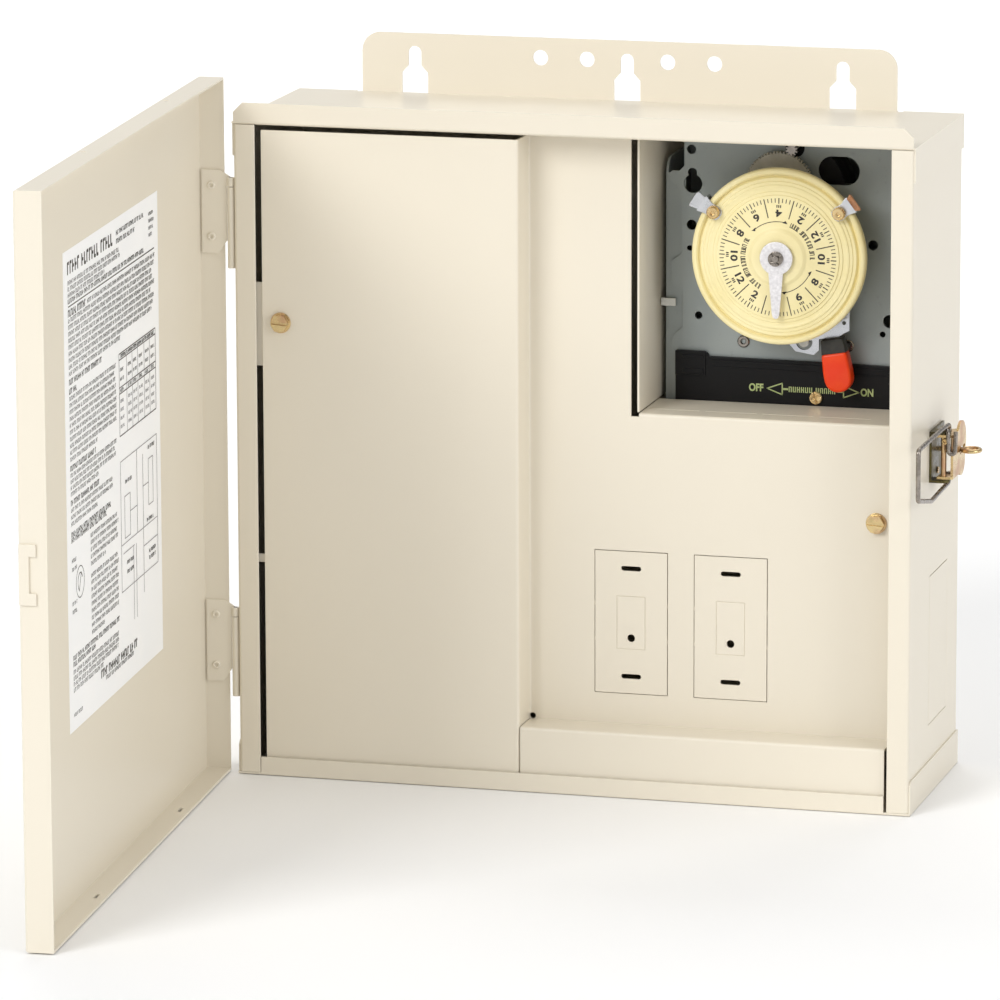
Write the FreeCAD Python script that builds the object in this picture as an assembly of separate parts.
import FreeCAD, Part
import math
import os

V = FreeCAD.Vector

# Driving dimensions, millimetres. The box is drawn from its front lower left corner
# (X right, Y towards the wall, Z up) and moved to the middle of its back on export.
WIDTH = 322.0
HEIGHT = 311.0
DEPTH = 108.0
SHEET = 1.2                   # box sheet
FOLD = 1.5                    # outer radius of a fold
STILE = 10.2                  # inward front flange each side
LAP = 16.0                    # height of the cap side laps
LAP_SHEET = 0.8
DRIP = 9.0                    # upturned front edge of the top cap
SILL = 8.8                    # upturned front edge of the bottom cap

FLANGE_WIDTH = 260.0          # wall flange above the box
FLANGE_HEIGHT = 28.6
FLANGE_CORNER = 9.0
KEYHOLE_PITCH = 104.0
KEYHOLE_SLOT = 6.4
KEYHOLE_MOUTH = 12.8
FLANGE_HOLE = 7.4
FLANGE_HOLE_X = (19.6, 42.3)  # half spacings of the two pairs of round holes
FLANGE_HOLE_UP = 19.0

DOOR_WIDTH = 330.2
DOOR_HEIGHT = 330.5
DOOR_DEPTH = 12.7
DOOR_SHEET = 1.1
DOOR_GAP = 0.8                # door lips to the front plane when closed
DOOR_BOTTOM = 0.5
DOOR_OPEN = 85.7              # degrees open in the stored pose
PIN_X = -2.1                  # hinge pin, outside the left side
PIN_Y = 2.6
PIN_RADIUS = 1.05
KNUCKLE_RADIUS = 1.8
LEAF_HEIGHT = 38.2
LEAF_BOTTOMS = (44.0, 248.6)  # door leaf heights above the box bottom

COVER_Y = 2.0                 # left cover, behind the front plane
RECESS_Y = 21.0               # recessed panel, behind the front plane
STEP_X = 136.2
COVER_SHEET = 1.2
LEDGE_Z = 30.6
WINDOW_LEFT = 185.0
WINDOW_BOTTOM = 178.6
WINDOW_DEEP = 59.0            # the window's bottom wall reaches back to here
DEAD_RIGHT = 317.5
DEAD_TOP = 307.3

PLATE_Y = 62.0                # time switch plate, front face
PLATE_RIGHT = 314.0
PLATE_BOTTOM, PLATE_TOP = 172.0, 305.0
DIAL_X, DIAL_Z = 250.8, 252.0
DIAL_Y = 36.0                 # dial front face
DIAL_RADIUS = 41.2
ARBOR_RADIUS = 3.0
DIAL_TEETH, IDLER_PINION_TEETH, TRAIN_MODULE = 86, 14, 0.6
IDLER_TEETH, MOTOR_TEETH, FINE_MODULE = 64, 10, 0.5
IDLER_BEARING = 98.0          # degrees, from the dial centre
MOTOR_BEARING = 71.0          # degrees, from the idler centre
LEVER_X, LEVER_Z = 271.0, 230.0
LATCH_Z = 161.0

OUT = "parts"


def block(x0, x1, y0, y1, z0, z1):
    return Part.makeBox(x1 - x0, y1 - y0, z1 - z0, V(x0, y0, z0))


def rod(x, y, z, direction, radius, length):
    return Part.makeCylinder(radius, length, V(x, y, z), V(*direction))


def tube(x, y, z, direction, outer, inner, length):
    return rod(x, y, z, direction, outer, length).cut(rod(x, y, z, direction, inner, length))


def join(shapes):
    whole = shapes[0].fuse(shapes[1:]) if len(shapes) > 1 else shapes[0]
    return whole.removeSplitter()


def face_plate(points, y0, y1):
    """A flat plate outlined by X, Z points, from y0 back to y1."""
    corners = [V(x, y0, z) for x, z in points]
    wire = Part.makePolygon(corners + corners[:1])
    return Part.Face(wire).extrude(V(0, y1 - y0, 0))


def side_plate(points, x0, x1):
    """A flat plate outlined by Y, Z points, from x0 across to x1."""
    corners = [V(x0, y, z) for y, z in points]
    wire = Part.makePolygon(corners + corners[:1])
    return Part.Face(wire).extrude(V(x1 - x0, 0, 0))


def floor_plate(points, z0, z1):
    """A flat plate outlined by X, Y points, from z0 up to z1."""
    corners = [V(x, y, z0) for x, y in points]
    wire = Part.makePolygon(corners + corners[:1])
    return Part.Face(wire).extrude(V(0, 0, z1 - z0))


def turned(profile, x, z):
    """A body turned about the Y line through x, z; the profile is radius, y points."""
    corners = [V(x + radius, y, z) for radius, y in profile]
    wire = Part.makePolygon(corners + corners[:1])
    return Part.Face(wire).revolve(V(x, 0, z), V(0, 1, 0), 360)


def slot(x, z, length, width, y0, y1):
    """A level slot with round ends, cut from y0 back to y1."""
    half = (length - width) / 2
    middle = block(x - half, x + half, y0, y1, z - width / 2, z + width / 2)
    ends = [rod(x + s * half, y0, z, (0, 1, 0), width / 2, y1 - y0) for s in (-1, 1)]
    return join([middle] + ends)


def round_edges(shape, radius, chosen):
    """Rounds the straight edges whose bounding box passes the test."""
    edges = [edge for edge in shape.Edges if chosen(edge.BoundBox)]
    return shape.makeFillet(radius, edges)


def runs(box, axis, **at):
    """True for an edge along one axis that lies at the given coordinates."""
    lengths = {"x": box.XLength, "y": box.YLength, "z": box.ZLength}
    middles = {"x": box.Center.x, "y": box.Center.y, "z": box.Center.z}
    along = lengths.pop(axis) > 5 and max(lengths.values()) < 0.01
    return along and all(abs(middles[name] - value) < 0.02 for name, value in at.items())


def round_upright(shape, radius, chosen):
    """Rounds the upright edges whose middle passes the test."""
    edges = []
    for edge in shape.Edges:
        low, high = edge.BoundBox.ZMin, edge.BoundBox.ZMax
        upright = high - low > 5 and edge.BoundBox.XLength < 0.01 and edge.BoundBox.YLength < 0.01
        if upright and chosen(edge.CenterOfMass):
            edges.append(edge)
    return shape.makeFillet(radius, edges) if edges else shape


def gear(teeth, module, x, z, y0, y1, phase, bore):
    """A spur gear about a Y line; phase turns the first tooth, in degrees."""
    pitch = teeth * module / 2
    levels = [(pitch - 1.15 * module, 0.33), (pitch, 0.225), (pitch + 0.8 * module, 0.11)]
    corners = []
    for tooth in range(teeth):
        middle = math.radians(phase) + 2 * math.pi * tooth / teeth
        step = 2 * math.pi / teeth
        flank = [(r, -half * step) for r, half in levels] + [(r, half * step) for r, half in levels[::-1]]
        for radius, offset in flank:
            angle = middle + offset
            corners.append((x + radius * math.cos(angle), z + radius * math.sin(angle)))
    wheel = face_plate(corners, y0, y1)
    return wheel.cut(rod(x, y0, z, (0, 1, 0), bore, y1 - y0)) if bore else wheel


def lead(points, radius, bend):
    """A round lead along straight runs joined by tangent arcs."""
    stops = [V(*p) for p in points]
    edges = []
    start = stops[0]
    for before, corner, after in zip(stops, stops[1:], stops[2:]):
        into = (corner - before).normalize()
        away = (after - corner).normalize()
        turn = math.acos(max(-1.0, min(1.0, into.dot(away))))
        cut_back = bend * math.tan(turn / 2)
        first = corner - into * cut_back
        last = corner + away * cut_back
        inward = (away - into).normalize()
        middle = corner + inward * (bend / math.cos(turn / 2) - bend)
        edges.append(Part.LineSegment(start, first).toShape())
        edges.append(Part.Arc(first, middle, last).toShape())
        start = last
    edges.append(Part.LineSegment(start, stops[-1]).toShape())
    path = Part.Wire(edges)
    ring = Part.Wire(Part.makeCircle(radius, stops[0], (stops[1] - stops[0]).normalize()))
    return path.makePipeShell([ring], True, False)


def swing(shape):
    """Turns a door part from its closed place to the stored open pose."""
    moved = shape.copy()
    moved.rotate(V(PIN_X, PIN_Y, 0), V(0, 0, 1), -DOOR_OPEN)
    return moved


def save(name, shape):
    placed = shape.copy()
    placed.translate(V(-WIDTH / 2, -DEPTH, -HEIGHT / 2))
    placed.exportStep(os.path.join(OUT, name + ".step"))


# ---- the box ---------------------------------------------------------------------------

SIDE_KNOCKOUT = (44.0, 83.5, 33.0, 104.0)     # y0, y1, z0, z1 on the right side


def box_body():
    low, high = SHEET, HEIGHT - SHEET
    outer = block(0, WIDTH, 0, DEPTH, low, high)
    outer = round_upright(outer, 1.6, lambda c: True)
    inner = block(SHEET, WIDTH - SHEET, SHEET, DEPTH - SHEET, low, high)
    mouth = block(STILE, WIDTH - STILE, -1, SHEET + 1, low, high)
    body = outer.cut([inner, mouth])
    y0, y1, z0, z1 = SIDE_KNOCKOUT
    return body.cut(block(WIDTH - SHEET - 1, WIDTH + 1, y0, y1, z0, z1))


def side_knockout():
    y0, y1, z0, z1 = SIDE_KNOCKOUT
    gap = 0.35
    plate = block(WIDTH - SHEET, WIDTH, y0 + gap, y1 - gap, z0 + gap, z1 - gap)
    ties = []
    for z in (z0 + 20, z1 - 20):
        ties.append(block(WIDTH - SHEET, WIDTH - 0.4, y0, y1, z - 1.2, z + 1.2))
    return join([plate] + ties)


def keyhole(x):
    """A keyhole open at the flange's fold: wide mouth, sloped shoulders, narrow slot."""
    z0 = HEIGHT
    mouth, neck = KEYHOLE_MOUTH / 2, KEYHOLE_SLOT / 2
    outline = [(x - mouth, z0), (x + mouth, z0), (x + mouth, z0 + 9.7), (x + neck, z0 + 13.2),
               (x + neck, z0 + 19.2), (x - neck, z0 + 19.2), (x - neck, z0 + 13.2), (x - mouth, z0 + 9.7)]
    cutter = face_plate(outline, DEPTH - 5, DEPTH + 5)
    return cutter.fuse(rod(x, DEPTH - 5, z0 + 19.2, (0, 1, 0), neck, 10))


def wall_flange():
    middle = WIDTH / 2
    left, right = middle - FLANGE_WIDTH / 2, middle + FLANGE_WIDTH / 2
    top = HEIGHT + FLANGE_HEIGHT
    sheet = block(left, right, DEPTH - SHEET, DEPTH, HEIGHT - SHEET, top)
    corners = []
    for edge in sheet.Edges:
        along_y = edge.BoundBox.YLength > 0.5 and edge.BoundBox.XLength < 0.01
        if along_y and edge.CenterOfMass.z > top - 0.1:
            corners.append(edge)
    sheet = sheet.makeFillet(FLANGE_CORNER, corners)
    holes = [keyhole(middle + i * KEYHOLE_PITCH) for i in (-1, 0, 1)]
    for half in FLANGE_HOLE_X:
        for s in (-1, 1):
            holes.append(rod(middle + s * half, DEPTH - 5, HEIGHT + FLANGE_HOLE_UP, (0, 1, 0),
                             FLANGE_HOLE / 2, 10))
    return sheet.cut(holes)


def top_cap():
    under = HEIGHT - SHEET
    plate = block(-LAP_SHEET, WIDTH + LAP_SHEET, 0, DEPTH, under, HEIGHT)
    laps = []
    for x in (-LAP_SHEET, WIDTH):
        laps.append(block(x, x + LAP_SHEET, 1.2, DEPTH, HEIGHT - LAP, under))
    clip = 4.4
    drip = face_plate([(0, under), (WIDTH, under), (WIDTH, HEIGHT + DRIP - clip),
                       (WIDTH - clip, HEIGHT + DRIP), (clip, HEIGHT + DRIP), (0, HEIGHT + DRIP - clip)],
                      0, SHEET)
    cap = join([plate, drip, wall_flange()] + laps)
    cap = round_edges(cap, FOLD, lambda b: runs(b, "x", y=0, z=under))
    reliefs = []
    for s in (-1, 1):
        x = WIDTH / 2 + s * (FLANGE_WIDTH / 2 + 1.6)
        reliefs.append(rod(x, DEPTH - 1.0, under - 1, (0, 0, 1), 1.6, 4))
    return cap.cut(reliefs)


BOTTOM_KNOCKOUTS = ((40, 14.2), (95, 14.2), (160, 11.2), (225, 14.2), (280, 14.2))   # x, radius


def bottom_cap():
    plate = block(-LAP_SHEET, WIDTH + LAP_SHEET, 0, DEPTH, 0, SHEET)
    laps = []
    for x in (-LAP_SHEET, WIDTH):
        lap = side_plate([(1.2, SHEET), (1.2, LAP - 2), (3.2, LAP), (DEPTH, LAP), (DEPTH, SHEET)],
                         x, x + LAP_SHEET)
        laps.append(lap)
    sill = block(STILE + 0.3, WIDTH - STILE - 1.4, 0, SHEET, 0, SILL)
    cap = join([plate, sill] + laps)
    cap = round_edges(cap, 0.9, lambda b: runs(b, "x", y=0, z=0))
    rings = []
    for x, radius in BOTTOM_KNOCKOUTS:
        for r in (radius, radius * 0.78):
            rings.append(tube(x, DEPTH / 2 + 6, 0, (0, 0, 1), r, r - 0.4, 0.45))
    return cap.cut(rings)


# ---- the inner front -------------------------------------------------------------------

LEFT_SCREW = (21.7, 217.0)
RIGHT_SCREW = (301.6, 132.7)
KNOCKOUTS = (185.2, 232.8)                     # middles of the two device knock-outs
KNOCKOUT_Z = 79.1
KNOCKOUT_SIZE = (35.2, 68.3)


def dead_front():
    """One folded sheet: flat cover, step back, recessed panel and the ledge under it."""
    t = COVER_SHEET
    cover = block(12.8, STEP_X, COVER_Y, COVER_Y + t, 2.2, DEAD_TOP)
    step = block(STEP_X - t, STEP_X, COVER_Y, RECESS_Y + t, LEDGE_Z - 0.3, DEAD_TOP)
    panel = block(STEP_X - t, DEAD_RIGHT, RECESS_Y, RECESS_Y + t, LEDGE_Z - t, DEAD_TOP)
    ledge = block(STEP_X + 0.4, WIDTH - STILE - 1.6, COVER_Y, RECESS_Y + t, LEDGE_Z - t, LEDGE_Z)
    apron = block(STEP_X + 0.4, WIDTH - STILE - 1.6, COVER_Y, COVER_Y + t, 2.2, LEDGE_Z)
    wall = block(WINDOW_LEFT + 3.8, DEAD_RIGHT, RECESS_Y, WINDOW_DEEP, WINDOW_BOTTOM - t, WINDOW_BOTTOM)
    cuts = [block(WINDOW_LEFT, WIDTH, RECESS_Y - 1, RECESS_Y + t + 1, WINDOW_BOTTOM, HEIGHT)]
    cuts.append(block(WINDOW_LEFT, WINDOW_LEFT + 3.8, RECESS_Y - 1, RECESS_Y + t + 1,
                      WINDOW_BOTTOM - 1.6, HEIGHT))
    for x in (202.5, 229.5, 256.5, 283.5):
        cuts.append(block(x - 12, x + 12, RECESS_Y + 12.6, RECESS_Y + 13.4,
                          WINDOW_BOTTOM - 0.6, WINDOW_BOTTOM + 1))
    cuts.append(rod(STEP_X + 1.4, RECESS_Y - 2, LEDGE_Z + 1.2, (0, 1, 0), 1.5, 6))
    for x in KNOCKOUTS:
        half_x, half_z = KNOCKOUT_SIZE[0] / 2, KNOCKOUT_SIZE[1] / 2
        cuts.append(block(x - half_x, x + half_x, RECESS_Y - 1, RECESS_Y + t + 1,
                          KNOCKOUT_Z - half_z, KNOCKOUT_Z + half_z))
    cuts.append(rod(LEFT_SCREW[0], 0, LEFT_SCREW[1], (0, 1, 0), 2.3, 6))
    cuts.append(rod(RIGHT_SCREW[0], RECESS_Y - 2, RIGHT_SCREW[1], (0, 1, 0), 2.3, 6))
    sheet = join([cover, step, panel, ledge, apron, wall]).cut(cuts)
    sheet = round_edges(sheet, FOLD, lambda b: runs(b, "z", x=STEP_X, y=COVER_Y))
    sheet = round_edges(sheet, 1.1, lambda b: runs(b, "z", x=STEP_X, y=RECESS_Y))
    sheet = round_edges(sheet, FOLD, lambda b: runs(b, "x", y=COVER_Y, z=LEDGE_Z))
    corner = block(WINDOW_LEFT + 3.8, WIDTH, RECESS_Y, RECESS_Y + FOLD,
                   WINDOW_BOTTOM - FOLD, WINDOW_BOTTOM)
    bend = rod(WINDOW_LEFT, RECESS_Y + FOLD, WINDOW_BOTTOM - FOLD, (1, 0, 0), FOLD, WIDTH)
    return sheet.cut(corner.cut(bend))


def device_knockout(x):
    """A thin plate for a wiring device, held by small ties, with pry slots and a toggle outline."""
    half_x, half_z = KNOCKOUT_SIZE[0] / 2, KNOCKOUT_SIZE[1] / 2
    gap, y0, t = 0.35, RECESS_Y - 0.3, COVER_SHEET
    plate = block(x - half_x + gap, x + half_x - gap, y0, y0 + t,
                  KNOCKOUT_Z - half_z + gap, KNOCKOUT_Z + half_z - gap)
    ties = []
    for z in (KNOCKOUT_Z + 8.5, KNOCKOUT_Z - 8.5):
        ties.append(block(x - half_x, x + half_x, RECESS_Y + 0.3, y0 + t, z - 0.9, z + 0.9))
    plate = join([plate] + ties)
    cuts = [slot(x, KNOCKOUT_Z + s * 25.75, 9.6, 2.3, y0 - 1, y0 + 5) for s in (-1, 1)]
    cuts.append(rod(x, y0 - 1, KNOCKOUT_Z - 7.4, (0, 1, 0), 1.85, 8))
    outer = block(x - 6.9, x + 6.9, y0 - 1, y0 + 0.35, KNOCKOUT_Z - 12.7, KNOCKOUT_Z + 12.7)
    inner = block(x - 6.6, x + 6.6, y0 - 1, y0 + 0.35, KNOCKOUT_Z - 12.4, KNOCKOUT_Z + 12.4)
    cuts.append(outer.cut(inner))
    return plate.cut(cuts)


def left_screw_bracket():
    """A Z tab on the left side, behind the cover, that takes its screw."""
    y = COVER_Y + COVER_SHEET
    face = block(SHEET, 34, y, y + 1.2, 196, 235.5)
    tail = block(SHEET, SHEET + 1.2, y, 26, 196, 235.5)
    tab = join([face, tail])
    return tab.cut(rod(LEFT_SCREW[0], y - 1, LEFT_SCREW[1], (0, 1, 0), 1.95, 5))


def left_support_tab():
    y = COVER_Y + COVER_SHEET
    face = block(SHEET, 20, y, y + 1.2, 102.2, 106.2)
    tail = block(SHEET, SHEET + 1.2, y, 22, 102.2, 106.2)
    return join([face, tail])


def right_screw_bracket():
    y = RECESS_Y + COVER_SHEET
    face = block(290, WIDTH - SHEET, y, y + 1.2, 120, 146)
    tail = block(WIDTH - SHEET - 1.2, WIDTH - SHEET, y, y + 20, 120, 146)
    tab = join([face, tail])
    return tab.cut(rod(RIGHT_SCREW[0], y - 1, RIGHT_SCREW[1], (0, 1, 0), 1.95, 5))


def hex_screw(x, y, z):
    """A slotted hex washer head screw with its washer face at y, going back into the sheet."""
    washer = rod(x, y - 0.8, z, (0, 1, 0), 4.9, 0.8)
    corners = [(x + 4.4 * math.cos(math.radians(a)), z + 4.4 * math.sin(math.radians(a)))
               for a in range(0, 360, 60)]
    head = face_plate(corners, y - 3.4, y - 0.8)
    shank = rod(x, y, z, (0, 1, 0), 1.95, 9.0)
    cut = block(x - 5, x + 5, y - 3.5, y - 2.1, z - 0.6, z + 0.6)
    cut.rotate(V(x, y, z), V(0, 1, 0), 4)
    return join([washer, head, shank]).cut(cut)


def dead_front_screws():
    left = hex_screw(LEFT_SCREW[0], COVER_Y, LEFT_SCREW[1])
    right = hex_screw(RIGHT_SCREW[0], RECESS_Y, RIGHT_SCREW[1])
    return Part.makeCompound([left, right])


def timer_partition():
    """The wall left of the window, from behind the panel to the back, with a welded foot."""
    x0, x1 = WINDOW_LEFT + 2.6, WINDOW_LEFT + 3.6
    web = block(x0, x1, RECESS_Y + 1.6, DEPTH - SHEET, WINDOW_BOTTOM + 0.2, 306.5)
    foot = block(x0 - 12, x1, DEPTH - SHEET - 1.0, DEPTH - SHEET, WINDOW_BOTTOM + 0.2, 306.5)
    return join([web, foot])


# ---- the door --------------------------------------------------------------------------

def door_tray():
    x0 = WIDTH / 2 - DOOR_WIDTH / 2
    x1 = x0 + DOOR_WIDTH
    y0 = -DOOR_GAP - DOOR_DEPTH
    t = DOOR_SHEET
    z0, z1 = DOOR_BOTTOM, DOOR_BOTTOM + DOOR_HEIGHT
    outer = block(x0, x1, y0, -DOOR_GAP, z0, z1)
    outer = round_edges(outer, FOLD, lambda b: abs(b.Center.y - y0) < 0.01)
    inner = block(x0 + t, x1 - t, y0 + t, 0, z0 + t, z1 - t)
    holes = []
    for x in (71, 221):
        holes.append(rod(x, -DOOR_GAP - 9, z1 - 3, (0, 0, 1), 1.4, 6))
    for x in (79, 234.6):
        holes.append(block(x - 3.5, x + 3.5, -DOOR_GAP - 5.4, -DOOR_GAP - 3.8, z0 - 1, z0 + 3))
    return outer.cut([inner] + holes)


DOOR_SKIN_Y = -DOOR_GAP - DOOR_DEPTH + DOOR_SHEET      # inner face of the door's plate
LABEL = (80.0, 249.0, 78.0, 291.0)                     # x0, x1, z0, z1 on the closed door


def door_label():
    x0, x1, z0, z1 = LABEL
    return block(x0, x1, DOOR_SKIN_Y, DOOR_SKIN_Y + 0.12, z0, z1)


def strike():
    """A C shaped catch on the free side lip: upright band with an ear at each end."""
    x0 = WIDTH / 2 + DOOR_WIDTH / 2
    y0 = -DOOR_GAP - DOOR_DEPTH
    band = block(x0, x0 + 1.1, y0 + 0.3, y0 + 4.8, 153.0, 179.6)
    ears = [block(x0, x0 + 1.1, y0 + 4.8, y0 + 7.9, z, z + 5.4) for z in (153.0, 174.2)]
    return join([band] + ears)


def door_leaf(z0):
    """A leaf riveted inside the door's lip, with a knuckle ring at its top that holds the pin."""
    skin = WIDTH / 2 - DOOR_WIDTH / 2 + DOOR_SHEET
    z1 = z0 + 39.2
    far, near = PIN_Y - KNUCKLE_RADIUS - 0.3, DOOR_SKIN_Y + 1.0
    clip = 4.0
    outline = [(near, z0), (far - clip, z0), (far, z0 + clip + 2), (far, z1 - 7.6), (far + 2.0, z1 - 7.6),
               (far + 2.0, z1 - 3.4), (far - clip + 1, z1), (near, z1)]
    plate = side_plate(outline, skin, skin + 1.0)
    ring = rod(PIN_X, PIN_Y, z1 - 7.6, (0, 0, 1), KNUCKLE_RADIUS, 4.2)
    bore = rod(PIN_X, PIN_Y, z1 - 9, (0, 0, 1), PIN_RADIUS, 9)
    return join([plate, ring]).cut(bore)


def hinge_pin(z0):
    """A pin fixed in the door leaf's ring that hangs in the box leaf's knuckle."""
    seat = z0 + 39.2 - 7.6
    return rod(PIN_X, PIN_Y, seat - 16, (0, 0, 1), PIN_RADIUS, 16 + 4.2)


def box_leaf(z0):
    """The lower half of the lift-off hinge: a leaf on the box side with a long knuckle."""
    top = z0 + 39.2 - 7.6 - 0.3
    low = top - LEAF_HEIGHT
    leaf = block(-1.1, 0, PIN_Y, 20, low, top)
    knuckle = rod(PIN_X, PIN_Y, low, (0, 0, 1), KNUCKLE_RADIUS, LEAF_HEIGHT)
    rest = block(PIN_X, -1.1 + 0.01, PIN_Y, PIN_Y + KNUCKLE_RADIUS, low, top)
    bore = rod(PIN_X, PIN_Y, low - 1, (0, 0, 1), PIN_RADIUS + 0.07, LEAF_HEIGHT + 2)
    return join([knuckle, leaf, rest]).cut([bore, block(0, 3, -5, 25, low - 1, top + 1)])


def leaf_rivets():
    skin = WIDTH / 2 - DOOR_WIDTH / 2 + DOOR_SHEET + 1.0
    heads = []
    for z0 in LEAF_BOTTOMS:
        for up in (7.8, 32.0):
            dome = rod(skin, DOOR_SKIN_Y + 5.6, z0 + up, (1, 0, 0), 1.9, 0.8)
            heads.append(dome.cut(rod(skin + 0.3, DOOR_SKIN_Y + 5.6, z0 + up, (1, 0, 0), 0.8, 1)))
    return Part.makeCompound(heads)


# ---- the latch on the right side -------------------------------------------------------

LATCH_PIN = (328.0, 44.0)         # lever pivot, x and y
BAIL_PIN = (329.0, 51.0)          # where the bail turns in the lever
BAIL_WIRE = 1.1
BAIL_Y = -16.0                    # front bar of the bail
LEVER_SKIN_X = 331.6
LEVER_HALF = 10.4                 # half height between the lever's cheeks
EYE_Y = 61.7


def latch_base():
    """A bracket on the side with two ears that carry the lever's pin."""
    x0 = WIDTH
    plate = block(x0, x0 + 1.2, 40, 68, LATCH_Z - 12, LATCH_Z + 12)
    ears = []
    for z in (LATCH_Z - 12, LATCH_Z + 10.8):
        ear = block(x0, LATCH_PIN[0], 40, 48.5, z, z + 1.2)
        nose = rod(LATCH_PIN[0], LATCH_PIN[1] + 0.25, z, (0, 0, 1), 3.2, 1.2)
        ears.append(ear.fuse(nose))
    bracket = join([plate] + ears)
    bore = rod(LATCH_PIN[0], LATCH_PIN[1], LATCH_Z - 20, (0, 0, 1), 1.3, 40)
    slot_cut = block(x0 - 1, x0 + 2, EYE_Y - 1.2, EYE_Y + 1.2, LATCH_Z - 4.2, LATCH_Z + 4.2)
    return bracket.cut([bore, slot_cut])


def latch_rivets():
    heads = []
    for y in (53.0, 65.6):
        for s in (-1, 1):
            heads.append(rod(WIDTH + 1.2, y, LATCH_Z + s * 8.4, (1, 0, 0), 1.6, 0.7))
    return Part.makeCompound(heads)


def latch_pin():
    return rod(LATCH_PIN[0], LATCH_PIN[1], LATCH_Z - 12.6, (0, 0, 1), 1.3, 25.2)


def latch_lever():
    """A channel shaped lever lying along the side: a lobed skin between two cheeks."""
    px, py = LATCH_PIN
    x0, x1 = LEVER_SKIN_X, LEVER_SKIN_X + 1.2
    top, low = LATCH_Z + LEVER_HALF, LATCH_Z - LEVER_HALF
    skin = block(x0, x1, 42.5, 62, low, top)
    lobe = rod(x0, 62.0, LATCH_Z + 4.0, (1, 0, 0), 9.6, 1.2)
    foot = rod(x0, 62.0, LATCH_Z - 4.4, (1, 0, 0), 7.6, 1.2)
    cheeks = []
    for z in (low, top - 1.2):
        outline = [(px - 2.6, py - 2.6), (x0 + 0.1, py - 2.6), (x1, py - 1.5), (x1, 60), (x0 - 3.2, 57),
                   (x0 - 4.6, 53.5), (px - 2.6, py + 2.6)]
        cheeks.append(floor_plate(outline, z, z + 1.2))
    lever = join([skin, lobe, foot] + cheeks)
    pivot = rod(px, py, LATCH_Z - 20, (0, 0, 1), 1.38, 40)
    bail_hole = rod(BAIL_PIN[0], BAIL_PIN[1], LATCH_Z - 20, (0, 0, 1), BAIL_WIRE + 0.08, 40)
    eye_slot = block(x0 - 2, x1 + 2, EYE_Y - 4.4, EYE_Y + 7.6, LATCH_Z - 1.6, LATCH_Z + 1.6)
    return lever.cut([pivot, bail_hole, eye_slot])


def latch_bail():
    """A bent wire loop: a tall front bar, two legs back to the lever, ends turned into it."""
    x0, y0 = BAIL_PIN
    front_x = 328.9
    rise = 2.4
    inner = 8.6
    outer = 11.4
    path = [(x0, y0, LATCH_Z + inner), (x0, y0, LATCH_Z + 13.6), (x0 - 0.2, 36, LATCH_Z + 14.2),
            (front_x, BAIL_Y, LATCH_Z + rise + outer + 0.6), (front_x, BAIL_Y, LATCH_Z + rise - outer),
            (front_x + 0.2, 12, LATCH_Z - 14.6), (x0 - 0.2, 34, LATCH_Z - 14.2), (x0, y0, LATCH_Z - 13.6),
            (x0, y0, LATCH_Z - inner)]
    return lead(path, BAIL_WIRE, 2.0)


def padlock_eye():
    """A flat wire ring standing out of the base through the lever's slot, level."""
    wire, radius = 1.0, 4.2
    centre = LEVER_SKIN_X + 5.6
    neck = block(WIDTH + 0.6, centre - 3.8, EYE_Y - wire, EYE_Y + wire, LATCH_Z - wire, LATCH_Z + wire)
    ring = Part.makeTorus(radius, wire, V(centre, EYE_Y, LATCH_Z), V(0, 0, 1))
    foot = block(WIDTH, WIDTH + 1.2, EYE_Y - 1.2, EYE_Y + 1.2, LATCH_Z - 4.2, LATCH_Z + 4.2)
    return join([foot, neck, ring])


# ---- the time switch -------------------------------------------------------------------

def polar(x, z, distance, bearing):
    angle = math.radians(bearing)
    return x + distance * math.cos(angle), z + distance * math.sin(angle)


IDLER_SPACING = (DIAL_TEETH + IDLER_PINION_TEETH) * TRAIN_MODULE / 2
MOTOR_SPACING = (IDLER_TEETH + MOTOR_TEETH) * FINE_MODULE / 2
IDLER_X, IDLER_Z = polar(DIAL_X, DIAL_Z, IDLER_SPACING, IDLER_BEARING)
MOTOR_X, MOTOR_Z = polar(IDLER_X, IDLER_Z, MOTOR_SPACING, MOTOR_BEARING)

# a tooth of each follower stands in a gap of the wheel that drives it
PINION_PHASE = IDLER_BEARING + 180.0 + 180.0 / IDLER_PINION_TEETH
DIAL_PHASE = IDLER_BEARING
IDLER_PHASE = MOTOR_BEARING
MOTOR_PHASE = MOTOR_BEARING + 180.0 + 180.0 / MOTOR_TEETH


BRACKET_TOP = 292.0


def switch_bracket():
    """A folded pan screwed to the box back that carries the plate on two side walls."""
    back = DEPTH - SHEET
    low, high = 176.0, BRACKET_TOP
    web = block(192.0, 312.0, back - 1.2, back, low, high)
    walls = []
    for x in (191.0, 311.8):
        wall = block(x, x + 1.2, PLATE_Y + 1.2, back, low, high)
        walls.append(round_edges(wall, 7.0, lambda b: runs_across(b, PLATE_Y + 1.2, high)))
    lips = [block(192.2, 200.5, PLATE_Y + 1.2, PLATE_Y + 2.4, low, high - 7.0),
            block(303.5, 311.8, PLATE_Y + 1.2, PLATE_Y + 2.4, low, high - 7.0)]
    pan = join([web] + walls + lips)
    ports = [block(190, 193, 72, 96, 190, 230), block(311, 314, 72, 96, 190, 230)]
    return pan.cut(ports)


def runs_across(box, y, z):
    """True for a sheet's own thickness edge, along X, at y and z."""
    return box.XLength > 0.5 and abs(box.Center.y - y) < 0.02 and abs(box.Center.z - z) < 0.02


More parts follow.
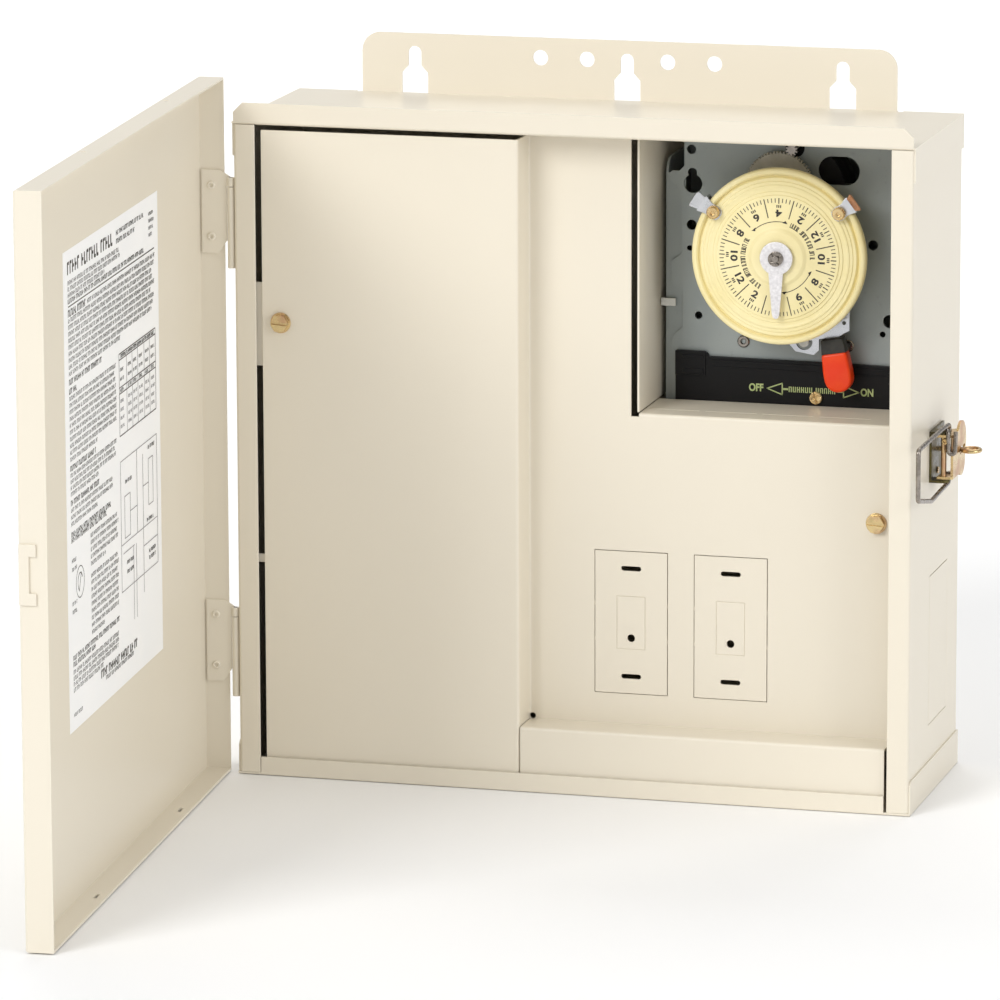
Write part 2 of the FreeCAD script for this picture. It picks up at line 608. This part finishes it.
# left edge of the plate from its top down, X and Z
PLATE_NOTCHES = ((200.0, 305.0), (200.0, 288.6), (197.6, 286.2), (194.2, 286.2), (193.0, 285.0),
                 (193.0, 281.6), (196.8, 278.4), (198.6, 275.6), (198.6, 247.2), (196.8, 245.6),
                 (194.0, 243.8), (194.0, 230.8), (198.6, 229.6), (199.4, 228.6), (199.4, 212.4),
                 (198.2, 211.4), (195.4, 209.0), (194.0, 206.0), (194.0, 172.0))


def switch_plate():
    """The plated front plate with its pierced holes and notched left edge."""
    y0, y1 = PLATE_Y, PLATE_Y + 1.2
    outline = PLATE_NOTCHES + ((PLATE_RIGHT, PLATE_BOTTOM), (PLATE_RIGHT, PLATE_TOP))
    plate = face_plate(outline, y0, y1)
    deep = 8.0
    holes = []
    for x, z, radius in ((203.4, 296.5, 2.2), (203.9, 285.6, 2.2), (204.2, 280.4, 4.4), (203.6, 261.0, 2.4),
                         (202.7, 250.0, 1.3), (207.0, 218.4, 1.8), (289.9, 255.0, 2.4), (294.8, 213.3, 1.4),
                         (298.1, 219.5, 3.1), (MOTOR_X, MOTOR_Z, 4.6)):
        holes.append(rod(x, y0 - 1, z, (0, 1, 0), radius, deep))
    holes.append(slot(273.6, 289.1, 19.6, 13.4, y0 - 1, y0 + deep))
    holes.append(rod(DIAL_X, y0 - 1, DIAL_Z, (0, 1, 0), ARBOR_RADIUS + 0.06, deep))
    holes.append(rod(IDLER_X, y0 - 1, IDLER_Z, (0, 1, 0), 1.5, deep))
    holes.append(rod(LEVER_X, y0 - 1, LEVER_Z, (0, 1, 0), 2.06, deep))
    return plate.cut(holes)


def plate_clip():
    """A white moulded clip on the plate's left edge, standing out sideways."""
    tongue = block(189.2, 196.2, PLATE_Y - 1.0, PLATE_Y, 222.4, 226.0)
    hook = block(189.2, 191.0, PLATE_Y, PLATE_Y + 1.0, 222.4, 226.0)
    return join([tongue, hook])


INSULATOR = (196.5, 313.0, 172.5, 201.8)        # x0, x1, z0, z1


def insulator():
    """A black moulded strip across the foot of the plate, with a raised box at its left."""
    x0, x1, z0, z1 = INSULATOR
    y0, y1 = WINDOW_DEEP + 0.6, PLATE_Y
    outline = [(x0, z0), (x1, z0), (x1, z1 - 2.6), (x0 + 17.6, z1 - 2.6), (x0 + 16.4, z1), (x0, z1)]
    sheet = face_plate(outline, y0, y1)
    pad = block(x0, x0 + 16.0, y0 - 1.2, y0, z1 - 11.4, z1)
    sunk = block(x0 + 4.0, x0 + 14.0, y0 - 2.0, y0 - 0.4, z1 - 8.2, z1 - 3.0)
    rail = block(x0 + 20.0, x1, y0 - 1.0, y0, z1 - 5.6, z1 - 4.6)
    hole = rod(264.0, y0 - 2, 182.4, (0, 1, 0), 1.3, 8)
    return join([sheet, pad.cut(sunk), rail]).cut(hole)


def pan_screw(x, y, z, head, shank, length):
    """A pan head screw with a cross recess, its seat at y."""
    top = rod(x, y - 1.5, z, (0, 1, 0), head, 1.5)
    crowned = top.makeFillet(0.6, [e for e in top.Edges if abs(e.CenterOfMass.y - (y - 1.5)) < 0.01])
    body = join([crowned, rod(x, y, z, (0, 1, 0), shank, length)])
    arm = head * 0.55
    cross = [block(x - arm, x + arm, y - 2, y - 0.8, z - 0.35, z + 0.35),
             block(x - 0.35, x + 0.35, y - 2, y - 0.8, z - arm, z + arm)]
    return body.cut(cross)


def plate_screws():
    """The small screw of the insulator and the two round rivets above it."""
    spots = ((228.7, 207.1), (278.5, 207.3))
    rivets = [rod(x, PLATE_Y - 1.1, z, (0, 1, 0), 3.0, 1.1) for x, z in spots]
    screw = pan_screw(264.0, WINDOW_DEEP + 0.6, 182.4, 2.9, 1.3, 2.4)
    return Part.makeCompound(rivets + [screw])


def motor():
    """The synchronous motor behind the plate, with its oval ears."""
    y0 = PLATE_Y + 1.2
    can = rod(MOTOR_X, y0, MOTOR_Z - 21, (0, 1, 0), 24.0, 22)
    ears = slot(MOTOR_X, MOTOR_Z - 21, 62, 10, y0, y0 + 1.4)
    hub = rod(MOTOR_X, y0 + 22, MOTOR_Z - 21, (0, 1, 0), 7.0, 3)
    nest = rod(MOTOR_X, y0 - 0.5, MOTOR_Z, (0, 1, 0), 3.1, 3.7)
    arbor = rod(DIAL_X, y0 - 1, DIAL_Z, (0, 1, 0), ARBOR_RADIUS + 0.4, 9)
    pivot = rod(IDLER_X, y0 - 1, IDLER_Z, (0, 1, 0), 1.9, 4)
    return join([can, ears, hub]).cut([nest, arbor, pivot])


def motor_pinion():
    """The motor's small pinion with its shaft in the motor."""
    wheel = gear(MOTOR_TEETH, FINE_MODULE, MOTOR_X, MOTOR_Z, 55.0, 59.0, MOTOR_PHASE, 0)
    shaft = rod(MOTOR_X, 59.0, MOTOR_Z, (0, 1, 0), 1.6, PLATE_Y + 3.4 - 59.0)
    return join([wheel, shaft])


def idler_gear():
    """The fine toothed wheel and its pinion on one stub shaft."""
    wheel = gear(IDLER_TEETH, FINE_MODULE, IDLER_X, IDLER_Z, 55.8, 58.2, IDLER_PHASE, 0)
    pinion = gear(IDLER_PINION_TEETH, TRAIN_MODULE, IDLER_X, IDLER_Z, 44.8, 49.6, PINION_PHASE, 0)
    neck = rod(IDLER_X, 49.6, IDLER_Z, (0, 1, 0), 3.4, 6.2)
    stub = rod(IDLER_X, 58.2, IDLER_Z, (0, 1, 0), 1.44, 6.6)
    return join([wheel, pinion, neck, stub])


def dial_gear():
    return gear(DIAL_TEETH, TRAIN_MODULE, DIAL_X, DIAL_Z, 45.2, 48.0, DIAL_PHASE, ARBOR_RADIUS + 0.06)


def dial():
    """The 24 hour dial: raised hub, printed face, ringed band, groove and rolled rim."""
    r, y = DIAL_RADIUS, DIAL_Y
    bore = ARBOR_RADIUS + 0.06
    profile = [(bore, y - 1.4), (0.295 * r, y - 1.4), (0.335 * r, y), (0.70 * r, y), (0.72 * r, y + 0.35),
               (0.76 * r, y + 0.4), (0.775 * r, y + 0.55), (0.905 * r, y + 0.95), (0.912 * r, y + 1.7),
               (0.926 * r, y + 1.7), (0.94 * r, y + 0.9), (0.98 * r, y + 0.9), (r, y + 1.9), (r, y + 5.0),
               (0.80 * r, y + 5.0), (0.78 * r, y + 7.4), (0.30 * r, y + 7.4), (0.30 * r, 45.2), (bore, 45.2)]
    return turned(profile, DIAL_X, DIAL_Z)


def dial_arbor():
    """The fixed spindle that the dial turns on; it draws out with the dial."""
    shaft = rod(DIAL_X, 33.4, DIAL_Z, (0, 1, 0), ARBOR_RADIUS, PLATE_Y + 6.0 - 33.4)
    tip = rod(DIAL_X, 30.6, DIAL_Z, (0, 1, 0), 1.6, 2.8)
    collar = rod(DIAL_X, 48.4, DIAL_Z, (0, 1, 0), 5.2, 1.6)
    return join([shaft, tip, collar])


def pointer():
    """The fixed time pointer: a disc with a long tapered finger, in front of the dial."""
    disc = rod(DIAL_X, 32.4, DIAL_Z, (0, 1, 0), 7.8, 1.0)
    finger = face_plate([(DIAL_X - 4.6, DIAL_Z - 5), (DIAL_X + 4.2, DIAL_Z - 5), (DIAL_X + 1.0, DIAL_Z - 24),
                         (DIAL_X - 0.4, DIAL_Z - 28.4), (DIAL_X - 1.9, DIAL_Z - 24)], 32.4, 33.4)
    whole = join([disc, finger])
    return whole.cut(rod(DIAL_X, 32, DIAL_Z, (0, 1, 0), 1.62, 3))


def pointer_nut():
    """A hexagonal collar between the pointer's disc and the dial hub."""
    corners = [polar(DIAL_X, DIAL_Z, 5.6, a) for a in range(0, 360, 60)]
    nut = face_plate(corners, 33.4, 34.2)
    return nut.cut(rod(DIAL_X, 33, DIAL_Z, (0, 1, 0), ARBOR_RADIUS, 3))


def pointer_screw():
    head = pan_screw(DIAL_X, 32.4, DIAL_Z, 3.5, 1.6, 0.2)
    return head.cut(rod(DIAL_X, 30.6, DIAL_Z, (0, 1, 0), 1.62, 5))


TRIPPERS = {"on": 146.6, "off": 36.9}


def place_on_dial(shape, bearing):
    moved = shape.copy()
    moved.rotate(V(0, 0, 0), V(0, 1, 0), -bearing)
    moved.translate(V(DIAL_X, 0, DIAL_Z))
    return moved


TAB_LEAN = 22.0                   # degrees, the tab leans out from the dial's plane
THUMB_SCREW_IN = 4.9              # from the rim to the middle of the thumb screw


def tripper_clip(bearing):
    """A sheet clip that straddles the dial's rim; its cam tail reaches behind the dial."""
    r, y = DIAL_RADIUS, DIAL_Y
    tongue = [(r - 8.6, -1.2), (r - 7.6, -2.7), (r - 5.4, -3.3), (r - 2.0, -3.0), (r + 2.0, -4.1),
              (r + 2.0, 4.1), (r - 2.0, 3.0), (r - 5.4, 3.3), (r - 7.6, 2.7), (r - 8.6, 1.2)]
    front = face_plate(tongue, y - 0.4, y + 0.6)
    bridge = block(r + 0.6, r + 2.0, y - 0.4, y + 6.6, -4.1, 4.1)
    back = face_plate([(r - 5.0, -4.0), (r + 2.0, -4.1), (r + 2.0, 4.1), (r - 5.0, 4.0)], y + 5.3, y + 6.6)
    tail = face_plate([(r - 3.0, -1.6), (r + 1.4, -3.0), (r + 3.8, -1.0), (r + 3.8, 1.0),
                       (r + 1.4, 3.0)], y + 6.6, y + 9.6)
    tab = face_plate([(r + 0.8, -3.6), (r + 6.0, -4.3), (r + 6.0, 4.3), (r + 0.8, 3.6)],
                     y - 0.4, y + 0.6)
    tab.rotate(V(r + 1.4, y + 0.1, 0), V(0, 0, 1), -TAB_LEAN)
    clip = join([front, bridge, back, tail, tab])
    clip = clip.cut(rod(r - THUMB_SCREW_IN, y - 1, 0, (0, 1, 0), 1.3, 1.8))
    return place_on_dial(clip, bearing)


def tripper_screw(bearing):
    """A round thumb screw with a dished face, through the clip's front."""
    r, y = DIAL_RADIUS, DIAL_Y
    x = r - THUMB_SCREW_IN
    shank = rod(x, y - 0.4, 0, (0, 1, 0), 1.25, 0.9)
    head = rod(x, y - 3.0, 0, (0, 1, 0), 3.1, 2.6).cut(rod(x, y - 3.1, 0, (0, 1, 0), 0.9, 0.7))
    return place_on_dial(join([shank, head]), bearing)


# ---- the manual lever and the contacts -------------------------------------------------

GRIP_BEARING = -80.5              # degrees of the grip from the lever's pivot, at ON


def about_lever(shape):
    moved = shape.copy()
    moved.rotate(V(0, 0, 0), V(0, 1, 0), -GRIP_BEARING)
    moved.translate(V(LEVER_X, 0, LEVER_Z))
    return moved


ARM_Y = 51.0                      # front of the arm's plate
ROLLER_SLOT = (17.6, -14.0, 3.9)  # middle of the arc shaped slot along and across the arm, and radius


def roller_slot():
    """A half ring cut round the roller, on its side away from the pivot."""
    x, z, radius = ROLLER_SLOT
    ring = tube(x, ARM_Y - 1, z, (0, 1, 0), radius, radius - 1.4, 4.0)
    return ring.cut(block(x - 8, x - 0.2, ARM_Y - 2, ARM_Y + 4, z - 8, z + 8))


def stop_roller():
    """The white roller on the tongue inside the arc shaped slot."""
    x, z, radius = ROLLER_SLOT
    return about_lever(rod(x, ARM_Y - 1.6, z, (0, 1, 0), radius - 1.6, 1.6))


def lever_arm():
    """A flat plate behind the dial with a blade that carries the grip; drawn along +X."""
    plate = face_plate([(-7, -6), (3, -13), (12, -20), (17.8, -21.3), (21.6, -18.9), (24.4, -10.5),
                        (22.4, -7.6), (17.3, -6.8), (17.3, -3), (36.5, -3), (36.5, 3), (17.3, 3),
                        (16.2, 5), (15.2, 8.1), (7.3, 9.4), (-2, 11), (-8, 6)], ARM_Y, ARM_Y + 1.4)
    holes = [rod(11.2, 50, 6.2, (0, 1, 0), 0.9, 4), rod(0, 50, 0, (0, 1, 0), 2.0, 4), roller_slot()]
    return about_lever(plate.cut(holes))


GRIP_OUTLINE = ((17.5, -5.2), (24.0, -6.0), (37.5, -6.6), (40.6, -5.2), (42.9, -2.2), (42.9, 2.2),
                (40.6, 5.2), (37.5, 6.6), (24.0, 6.0), (17.5, 5.2))
GRIP_FRONT, GRIP_BACK = 46.4, 54.4


def lever_grip():
    """The moulded grip pushed over the arm's blade."""
    body = face_plate(GRIP_OUTLINE, GRIP_FRONT, GRIP_BACK)
    body = body.makeFillet(1.2, [e for e in body.Edges if abs(e.CenterOfMass.y - GRIP_FRONT) < 0.01])
    pocket = block(16.5, 36.5, ARM_Y, ARM_Y + 1.4, -3.0, 3.0)
    return about_lever(body.cut(pocket))


def lever_shaft():
    """The lever's spindle through the plate, with a flange each side."""
    spindle = rod(LEVER_X, 50.0, LEVER_Z, (0, 1, 0), 2.0, 25.0)
    button = rod(LEVER_X, 49.6, LEVER_Z, (0, 1, 0), 3.6, 1.4)
    return join([spindle, button])


def switch_cam():
    """The cam on the spindle behind the plate."""
    lobe = face_plate([(-6, -5), (6, -5), (9.5, -1.6), (9.5, 1.6), (6, 5), (-6, 5)], 66.0, 71.0)
    lobe = lobe.cut(rod(0, 65, 0, (0, 1, 0), 2.0, 8))
    return about_lever(lobe)


ROCKER_X, ROCKER_Z = 240.0, 214.0


def contact_rocker():
    """The rocking contact arm that the cam throws, with its contact button."""
    arm = block(ROCKER_X - 16, ROCKER_X + 14, 66.0, 70.0, ROCKER_Z - 2.5, ROCKER_Z + 2.5)
    boss = rod(ROCKER_X, 66.0, ROCKER_Z, (0, 1, 0), 4.5, 5.0)
    button = rod(ROCKER_X - 12.5, 68.0, ROCKER_Z - 2.5, (0, 0, -1), 2.0, 1.4)
    whole = join([arm, boss, button])
    return whole.cut(rod(ROCKER_X, 65, ROCKER_Z, (0, 1, 0), 1.56, 8))


def rocker_stud():
    return rod(ROCKER_X, PLATE_Y + 1.2, ROCKER_Z, (0, 1, 0), 1.5, 10)


def fixed_contact():
    """The fixed contact on its strip, under the rocker's button."""
    x = ROCKER_X - 12.5
    strip = block(x - 4, x + 4, PLATE_Y + 1.6, 74.0, 207.2, 208.6)
    foot = block(x - 4, x + 4, PLATE_Y + 1.6, PLATE_Y + 3.0, 188.0, 207.2)
    button = rod(x, 68.0, 208.6, (0, 0, 1), 2.0, 1.2)
    return join([strip, foot, button])


TERMINALS = [212.0 + i * 20.4 for i in range(5)]
TERMINAL_SCREW_Z = 164.2


def terminal_block():
    """The moulded block under the plate, with a barrier between each pair of screws."""
    body = block(200.0, 306.0, 62.0, 80.0, 148.0, 171.0)
    cuts = []
    for x in TERMINALS:
        cuts.append(block(x - 9, x + 9, 61.0, 67.0, 149.5, 169.5))
        cuts.append(block(x - 4, x + 4, 66.0, 72.0, 147.0, 158.0))
        cuts.append(rod(x, 66.0, TERMINAL_SCREW_Z, (0, 1, 0), 1.6, 5.0))
    return body.cut(cuts)


def terminal_screws():
    return Part.makeCompound([pan_screw(x, 67.0, TERMINAL_SCREW_Z, 3.6, 1.6, 4.0) for x in TERMINALS])


# ---- the transformer and the bars in the left compartment ------------------------------

TRANSFORMER = (22.0, 112.0)        # x from, to


def transformer_core():
    x0, x1 = TRANSFORMER
    core = block(x0 + 14, x1 - 14, 44, 96, 24, 96)
    window = block(x0 + 26, x1 - 26, 43, 97, 36, 84)
    leg = block(x0 + 38, x1 - 38, 44, 96, 30, 90)
    return core.cut(window).fuse(leg).removeSplitter()


def transformer_coil():
    x0, x1 = TRANSFORMER
    body = block(x0 + 26.4, x1 - 26.4, 36, 104, 36.4, 83.6)
    body = body.makeFillet(5, [e for e in body.Edges if e.BoundBox.ZLength > 40])
    return body.cut(block(x0 + 37.7, x1 - 37.7, 43.6, 96.4, 30, 90))


def transformer_frame():
    """The strap frame that clamps the core to the box back."""
    x0, x1 = TRANSFORMER
    back = DEPTH - SHEET
    front = block(x0 + 12.8, x1 - 12.8, 42.8, 44, 24, 35)
    sides = [block(x0 + 12.8, x0 + 14, 44, back, 24, 35), block(x1 - 14, x1 - 12.8, 44, back, 24, 35)]
    feet = [block(x0, x0 + 12.8, back - 1.2, back, 24, 35), block(x1 - 12.8, x1, back - 1.2, back, 24, 35)]
    return join([front] + sides + feet)


BAR_SCREWS = 7
BAR_X = 36.0
BAR_HEIGHTS = (150.0, 262.0)


def bar_with_holes(x0, z0):
    """An extruded bar with a row of tapped holes."""
    bar = block(x0, x0 + 70, 92, 100, z0, z0 + 9)
    holes = [rod(x0 + 6.5 + i * 9.5, 91, z0 + 4.5, (0, 1, 0), 1.9, 10) for i in range(BAR_SCREWS)]
    return bar.cut(holes)


def bar_standoffs():
    back = DEPTH - SHEET
    spots = [(x, z) for z in BAR_HEIGHTS for x in (BAR_X, BAR_X + 62)]
    return Part.makeCompound([block(x, x + 8, 100, back, z, z + 9) for x, z in spots])


def bar_screws():
    screws = []
    for z0 in BAR_HEIGHTS:
        for i in range(BAR_SCREWS):
            screws.append(pan_screw(BAR_X + 6.5 + i * 9.5, 92, z0 + 4.5, 3.1, 1.9, 6))
    return Part.makeCompound(screws)


def make_parts():
    os.makedirs(OUT, exist_ok=True)
    save("box_body", box_body())
    save("top_cap", top_cap())
    save("bottom_cap", bottom_cap())
    save("side_knockout", side_knockout())
    save("dead_front", dead_front())
    save("left_device_knockout", device_knockout(KNOCKOUTS[0]))
    save("right_device_knockout", device_knockout(KNOCKOUTS[1]))
    save("left_screw_bracket", left_screw_bracket())
    save("left_support_tab", left_support_tab())
    save("right_screw_bracket", right_screw_bracket())
    save("dead_front_screws", dead_front_screws())
    save("timer_partition", timer_partition())

    save("door_tray", swing(door_tray()))
    save("door_label", swing(door_label()))
    save("door_strike", swing(strike()))
    save("door_leaf_rivets", swing(leaf_rivets()))
    save("door_leaves", swing(Part.makeCompound([door_leaf(z0) for z0 in LEAF_BOTTOMS])))
    save("hinge_pins", swing(Part.makeCompound([hinge_pin(z0) for z0 in LEAF_BOTTOMS])))
    save("box_leaves", Part.makeCompound([box_leaf(z0) for z0 in LEAF_BOTTOMS]))

    save("latch_base", latch_base())
    save("latch_rivets", latch_rivets())
    save("latch_pin", latch_pin())
    save("latch_lever", latch_lever())
    save("latch_bail", latch_bail())
    save("padlock_eye", padlock_eye())

    save("switch_bracket", switch_bracket())
    save("switch_plate", switch_plate())
    save("insulator", insulator())
    save("plate_screws", plate_screws())
    save("plate_clip", plate_clip())
    save("motor", motor())
    save("motor_pinion", motor_pinion())
    save("idler_gear", idler_gear())
    save("dial_gear", dial_gear())
    save("dial", dial())
    save("dial_arbor", dial_arbor())
    save("pointer", pointer())
    save("pointer_nut", pointer_nut())
    save("pointer_screw", pointer_screw())
    for name, bearing in TRIPPERS.items():
        save(name + "_tripper", tripper_clip(bearing))
        save(name + "_tripper_screw", tripper_screw(bearing))
    save("lever_arm", lever_arm())
    save("stop_roller", stop_roller())
    save("lever_grip", lever_grip())
    save("lever_shaft", lever_shaft())
    save("switch_cam", switch_cam())
    save("contact_rocker", contact_rocker())
    save("rocker_stud", rocker_stud())
    save("fixed_contact", fixed_contact())
    save("terminal_block", terminal_block())
    save("terminal_screws", terminal_screws())

    save("transformer_core", transformer_core())
    save("transformer_coil", transformer_coil())
    save("transformer_frame", transformer_frame())
    for name, z0 in zip(("ground_bar", "neutral_bar"), BAR_HEIGHTS):
        save(name, bar_with_holes(BAR_X, z0))
    save("bar_standoffs", bar_standoffs())
    save("bar_screws", bar_screws())


make_parts()
